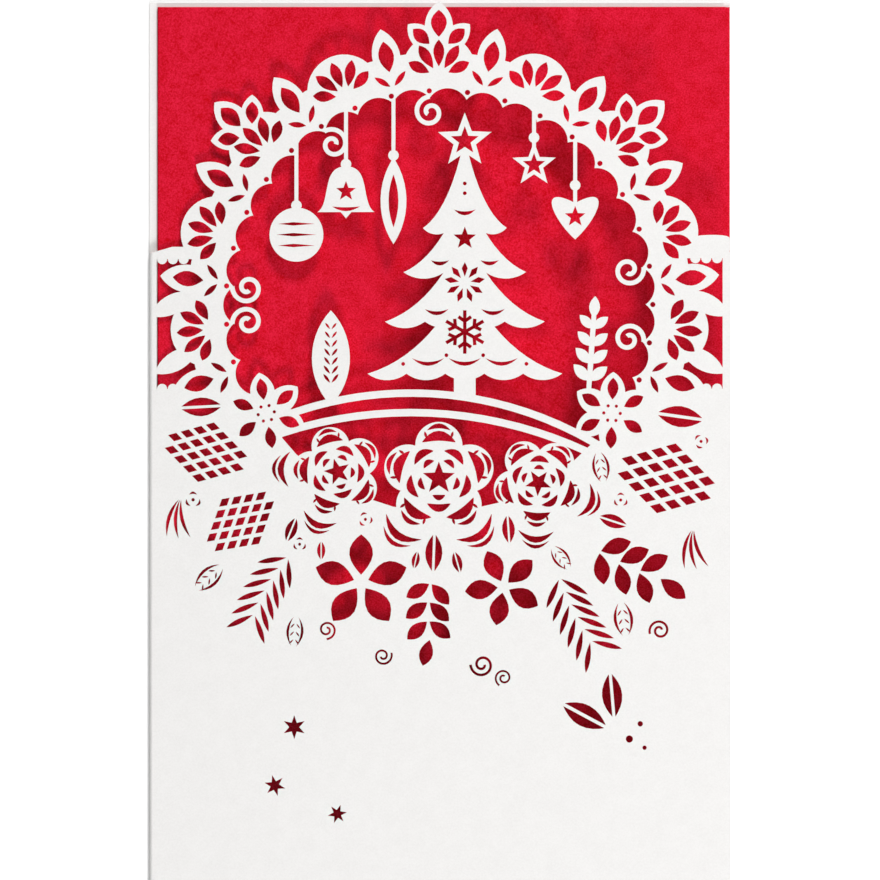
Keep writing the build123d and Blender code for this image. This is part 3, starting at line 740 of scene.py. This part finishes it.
for side in (-1, 1):
    cut(
        FAN, SOLID_LEAVES, foot=0.0006, length=0.0096, width=0.00195, aside=side * RIB,
        bend=side * 0.1015,
    )
    cut(
        FAN, VEINED_LEAVES, foot=0.0006, length=0.0076, width=0.0007, aside=side * OUTLINE_RIB,
        bend=side * 0.17,
    )
cut(
    STEM, VEINED_LEAVES, pairs=3, stem=0.0082, stem_bend=0.0, lean=40, gap=0.0003, width=0.0004,
    length=0.0016,
)


# Berries, blades of grass, curls and seeds fill what is left. A tendril has its place,
# turn and size, and says whether it winds backwards.
BERRIES = from_ring(
    (-0.645, -1.105, 0, 0.75), (-0.34, -0.99, 20, 0.8), (0.84, -0.9, 0, 0.8), (1.21, -0.63, 40, 0.8),
    (-1.14, -0.9, 0, 0.9),
)
GRASS = from_ring((-1.2, -0.88, 178, 0.85), (1.17, -1.02, 186, 0.85))
TENDRILS = (
    (0.2, -1.66, 0, 1.0, False), (0.3, -1.72, 60, 0.75, True), (-0.26, -1.62, 200, 0.8, True),
    (-0.52, -1.5, 90, 0.8, False), (1.02, -1.5, 20, 0.9, True),
)
SEEDS = from_ring((0.88, -2.0, 0, 1), (0.93, -1.93, 0, 0.75), (0.95, -2.04, 0, 0.6))

cut(
    FAN, BERRIES, foot=0.0012, length=0.0018, width=0.00055, bend=0.24, **curled, **all_round(3),
)
cut(FAN, BERRIES, **dot(0.0008))
cut(FAN, GRASS, count=3, sweep=16, foot=0.001, length=0.0095, width=0.0009, bend=0.1)
for x, y, turn, size, backwards in TENDRILS:
    cut(
        CURL, from_ring((x, y, turn, size)), rounds=1.5, inner=0.0005, outer=0.0024, width=0.00055,
        backwards=backwards,
    )
cut(FAN, SEEDS, **dot(0.0015))


# Sheet: the thin card is joined to it and the cuts are taken out. The walls that the laser leaves are painted
# darker, partly as a little toasting and partly as painted shade for the shadow deep in the slits; the fold
# isn't cut, so it keeps the sheet's own finish.
WELD = 1e-7
WALL_SLOPE = 0.6

cover_mesh = frame["nodes"]["cover"].data.copy()
work = bmesh.new()
work.from_mesh(cover_mesh)
bmesh.ops.remove_doubles(work, verts=work.verts, dist=WELD)
work.to_mesh(cover_mesh)
work.free()
cover = bpy.data.objects.new("cut_cover", cover_mesh)
scene.collection.objects.link(cover)
for group, operation in ((strokes, "UNION"), (cuts, "DIFFERENCE")):
    for tool in group.objects:
        knife = cover.modifiers.new(operation.lower(), "BOOLEAN")
        knife.operation = operation
        knife.solver = "MANIFOLD"
        knife.object = tool
cut_mesh = bpy.data.meshes.new_from_object(cover.evaluated_get(bpy.context.evaluated_depsgraph_get()))
cover.modifiers.clear()
cover.data = cut_mesh
for group in (strokes, cuts):
    for tool in list(group.objects):
        bpy.data.objects.remove(tool)
    bpy.data.collections.remove(group)
cut_mesh.materials.clear()
cut_mesh.materials.append(white_pearl)
cut_mesh.materials.append(edge_toast_and_painted_shade)
cut_mesh.shade_flat()
# Upright faces take the darker edge finish, which is painted shade as well as toasting.
for face in cut_mesh.polygons:
    on_fold = face.center.x < FOLD_X and abs(face.normal.y) < WALL_SLOPE
    face.material_index = int(abs(face.normal.z) < WALL_SLOPE and not on_fold)
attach(cover, "root")
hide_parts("cover")
